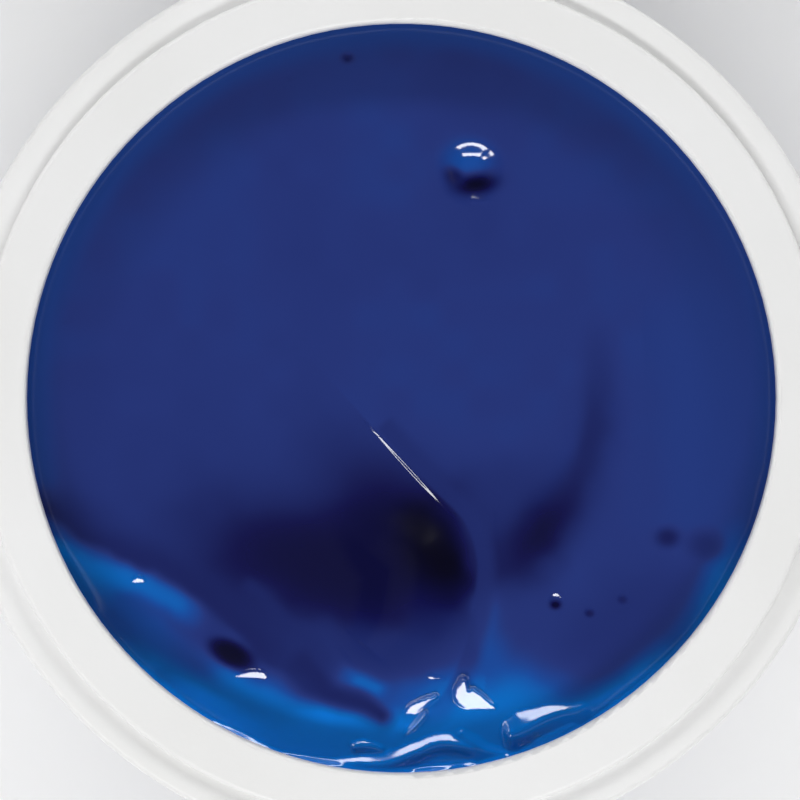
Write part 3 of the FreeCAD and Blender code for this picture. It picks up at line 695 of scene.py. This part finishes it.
def body_label_paper():
    """A wrapped label: a brush stroke of the colour, bands and a scale of tints. No text."""
    m, nodes, links, bsdf = material("body_label_paper")
    sheet = paper_base(nodes, links, bsdf)
    coord = nodes.new("ShaderNodeTexCoord")
    xyz = nodes.new("ShaderNodeSeparateXYZ")
    links.new(coord.outputs["Object"], xyz.inputs[0])
    low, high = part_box("body_label")
    radius = high.x
    half = (high.z - low.z) / 2
    # arc: distance round the jar from the front, to the right. up: height above the label's middle
    forward = calc(nodes, links, "MULTIPLY", xyz.outputs["Y"], -1.0)
    angle = calc(nodes, links, "ARCTAN2", xyz.outputs["X"], forward)
    arc = calc(nodes, links, "MULTIPLY", angle, radius)
    up = calc(nodes, links, "SUBTRACT", xyz.outputs["Z"], (low.z + high.z) / 2)
    streaks = noise(nodes, links, 60, 3, 0.6, stretch=(0.35, 0.35, 22)).outputs["Fac"]
    colour = sheet
    for low_at, high_at in [(-0.93, -0.76), (-0.68, -0.65), (0.80, 0.83), (0.88, 0.91)]:
        mask = within(nodes, links, up, low_at * half, high_at * half, PRINT_SOFT)
        colour = blend(nodes, links, mask, colour, INK)
    across = calc(nodes, links, "SUBTRACT", up, 0.06 * half)
    stroke = brushed(nodes, links, across, arc, 0.024, 0.46 * half, streaks)
    colour = blend(nodes, links, stroke, colour, printed_paint(nodes, links, streaks))
    # a row of square tints round the right-hand side
    cells = 6
    pitch = 0.0085
    first_at = 0.042
    column = calc(nodes, links, "DIVIDE", calc(nodes, links, "SUBTRACT", arc, first_at), pitch)
    in_cell = within(nodes, links, calc(nodes, links, "FRACT", column), 0.10, 0.90, 0.01)
    in_row = within(nodes, links, column, 0.0, float(cells), 0.01)
    in_height = within(nodes, links, up, -0.17 * half, 0.13 * half, 0.00006)
    inside = calc(nodes, links, "MULTIPLY", in_cell, in_row)
    inside = calc(nodes, links, "MULTIPLY", inside, in_height)
    share = calc(nodes, links, "DIVIDE", calc(nodes, links, "FLOOR", column), cells - 1.0)
    tint = ramp(nodes, links, share,
                [(0.0, (0.008, 0.02, 0.15)), (0.5, (0.10, 0.22, 0.58)), (1.0, (0.55, 0.65, 0.82))])
    colour = blend(nodes, links, inside, colour, tint.outputs[0])
    links.new(colour, bsdf.inputs["Base Color"])
    return m


def lid_label_paper():
    """A round label: a ring and a brush stroke of the colour. No text."""
    m, nodes, links, bsdf = material("lid_label_paper")
    sheet = paper_base(nodes, links, bsdf)
    low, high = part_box("lid_label")
    centre = (low + high) / 2
    half = (high.x - low.x) / 2
    tilt = math.atan2(high.z - low.z, high.y - low.y)
    coord = nodes.new("ShaderNodeTexCoord")
    moved = nodes.new("ShaderNodeVectorMath")
    moved.operation = "SUBTRACT"
    moved.inputs[1].default_value = centre
    links.new(coord.outputs["Object"], moved.inputs[0])
    xyz = nodes.new("ShaderNodeSeparateXYZ")
    links.new(moved.outputs[0], xyz.inputs[0])
    # the open lid slopes down to the back, so its own length is measured along that slope
    fore = calc(nodes, links, "SUBTRACT",
                calc(nodes, links, "MULTIPLY", xyz.outputs["Y"], math.cos(tilt)),
                calc(nodes, links, "MULTIPLY", xyz.outputs["Z"], math.sin(tilt)))
    x_squared = calc(nodes, links, "MULTIPLY", xyz.outputs["X"], xyz.outputs["X"])
    fore_squared = calc(nodes, links, "MULTIPLY", fore, fore)
    r = calc(nodes, links, "SQRT", calc(nodes, links, "ADD", x_squared, fore_squared))
    streaks = noise(nodes, links, 60, 3, 0.6, stretch=(0.35, 16, 16)).outputs["Fac"]
    colour = sheet
    for inner, outer in [(0.90, 0.95), (0.86, 0.87)]:
        ring = within(nodes, links, r, inner * half, outer * half, PRINT_SOFT)
        colour = blend(nodes, links, ring, colour, INK)
    stroke = brushed(nodes, links, fore, xyz.outputs["X"], 0.0165, 0.0085, streaks)
    colour = blend(nodes, links, stroke, colour, printed_paint(nodes, links, streaks))
    links.new(colour, bsdf.inputs["Base Color"])
    return m


dress("jar_body", clear_plastic())
dress("body_label", body_label_paper())
dress("closure_gasket", foam())
dress("screw_collar", white_plastic("collar_plastic", 40))
dress("flip_lid", white_plastic("lid_plastic", 47))
dress("hinge_pin", drawn_steel())
dress("lid_seal", silicone())
dress("lid_label", lid_label_paper())

# ---------------------------------------------------------------- light and camera
scene = bpy.context.scene
scene.view_settings.view_transform = "Standard"

# pale below and round the horizon, and dark overhead, so that the glossy paint keeps its depth
world = bpy.data.worlds.new("studio")
scene.world = world
world.use_nodes = True
wn, wl = world.node_tree.nodes, world.node_tree.links
wn.clear()
wout = wn.new("ShaderNodeOutputWorld")
back = wn.new("ShaderNodeBackground")
coord = wn.new("ShaderNodeTexCoord")
sep = wn.new("ShaderNodeSeparateXYZ")
wl.new(coord.outputs["Generated"], sep.inputs[0])
wr = wn.new("ShaderNodeValToRGB")
stops = [(0.0, 0.6), (0.5, 0.6), (0.62, 0.54), (0.78, 0.03), (0.955, 0.03), (0.99, 0.065)]
while len(wr.color_ramp.elements) < len(stops):
    wr.color_ramp.elements.new(0.5)
for e, (pos, v) in zip(wr.color_ramp.elements, stops):
    e.position = pos
    e.color = (v, v, v * 1.01, 1)
up = wn.new("ShaderNodeMapRange")
up.inputs["From Min"].default_value = -1
up.inputs["From Max"].default_value = 1
wl.new(sep.outputs["Z"], up.inputs["Value"])
wl.new(up.outputs["Result"], wr.inputs[0])
wl.new(wr.outputs[0], back.inputs["Color"])
# straight behind the object the camera sees an even pale ground
plain = wn.new("ShaderNodeBackground")
plain.inputs["Color"].default_value = (0.86, 0.86, 0.87, 1)
seen = wn.new("ShaderNodeLightPath")
choose = wn.new("ShaderNodeMixShader")
wl.new(seen.outputs["Is Camera Ray"], choose.inputs[0])
wl.new(back.outputs[0], choose.inputs[1])
wl.new(plain.outputs[0], choose.inputs[2])
wl.new(choose.outputs[0], wout.inputs[0])


def softbox(name, azimuth, elevation, distance, wide, tall, radiance):
    """An area light that looks at the middle of the paint. Azimuth 0 is the front (-Y)."""
    light = bpy.data.lights.new(name, "AREA")
    light.shape = "RECTANGLE"
    light.size, light.size_y = wide, tall
    light.energy = radiance * math.pi * wide * tall
    lamp = bpy.data.objects.new(name, light)
    a, e = math.radians(azimuth), math.radians(elevation)
    aim = Vector((0, 0, LEVEL * MM))
    away = Vector((math.sin(a) * math.cos(e), -math.cos(a) * math.cos(e), math.sin(e)))
    lamp.location = aim + away * distance
    lamp.rotation_euler = (-away).to_track_quat("-Z", "Y").to_euler()
    scene.collection.objects.link(lamp)


softbox("key_front", 0, 48, distance=0.6, wide=0.45, tall=0.13, radiance=12)
softbox("key_side", -48, 48, distance=0.6, wide=0.10, tall=0.09, radiance=12)
softbox("fill_back", 180, 33, distance=0.7, wide=0.90, tall=0.09, radiance=9)
softbox("fill_left", -115, 33, distance=0.7, wide=0.35, tall=0.12, radiance=4.5)
softbox("fill_right", 115, 33, distance=0.7, wide=0.35, tall=0.12, radiance=4.5)

FLOOR_Z = -0.00005        # just clear of the foot, m
FLOOR_HALF = 3            # m
floor_mesh = bpy.data.meshes.new("floor")
corners = [(-1, -1), (1, -1), (1, 1), (-1, 1)]
floor_mesh.from_pydata([(FLOOR_HALF * x, FLOOR_HALF * y, FLOOR_Z) for x, y in corners], [], [(0, 1, 2, 3)])
floor = bpy.data.objects.new("floor", floor_mesh)
scene.collection.objects.link(floor)
m, nodes, links, bsdf = material("pale_floor")
bsdf.inputs["Base Color"].default_value = (0.95, 0.95, 0.95, 1)
bsdf.inputs["Roughness"].default_value = 0.9
bsdf.inputs["Emission Color"].default_value = (1, 1, 1, 1)
# the floor glows a little more away from the lamps, so that it stays evenly pale to its edge
coord = nodes.new("ShaderNodeTexCoord")
away = nodes.new("ShaderNodeVectorMath")
away.operation = "LENGTH"
links.new(coord.outputs["Object"], away.inputs[0])
glow = span(nodes, links, away.outputs["Value"], 0.08, 0.66, 0.25, 1.3)
links.new(glow, bsdf.inputs["Emission Strength"])
floor_mesh.materials.append(m)

# straight above, close enough for the collar to fill the view
HEIGHT = 0.4              # above the opening, m
VIEW_WIDTH = 0.0646988    # seen across at the opening, m
SENSOR = 36               # mm
camera = bpy.data.cameras.new("camera")
camera.sensor_width = SENSOR
camera.lens = SENSOR * HEIGHT / VIEW_WIDTH
eye = bpy.data.objects.new("camera", camera)
eye.location = (-0.00011, -0.00015, OPENING_Z * MM + HEIGHT)
scene.collection.objects.link(eye)
scene.camera = eye
